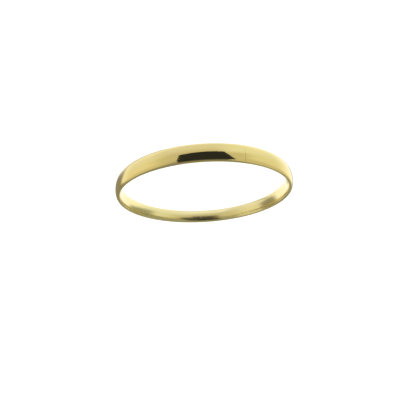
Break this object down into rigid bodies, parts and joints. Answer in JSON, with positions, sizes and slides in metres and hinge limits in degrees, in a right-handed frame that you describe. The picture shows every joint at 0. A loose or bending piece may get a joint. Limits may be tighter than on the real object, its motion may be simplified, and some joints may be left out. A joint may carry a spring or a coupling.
{
  "type": "bangle bracelet",
  "caption": "Plain slip-on bangle of polished yellow gold: an oval tube bent into a ring, domed outside and comfort-fit inside, closed by a soldered butt joint.",
  "frame": {"origin": "centre of the ring in the plane of the lower rim", "axes": "+Z along the ring's axis; the butt joint is 21.4 degrees round from -Y towards +X"},
  "size_m": [0.0694, 0.0694, 0.006],
  "materials": {
    "band_gold": "pale yellow gold, mirror polish with fine wear scratches",
    "solder_gold": "yellow gold solder, polished with the band",
    "sleeve_gold": "yellow gold, as drawn, hidden inside the tube"
  },
  "bodies": {
    "root": {"band_tube": "band_gold", "solder_seam": "solder_gold", "joint_sleeve": "sleeve_gold"}
  },
  "joints": []
}
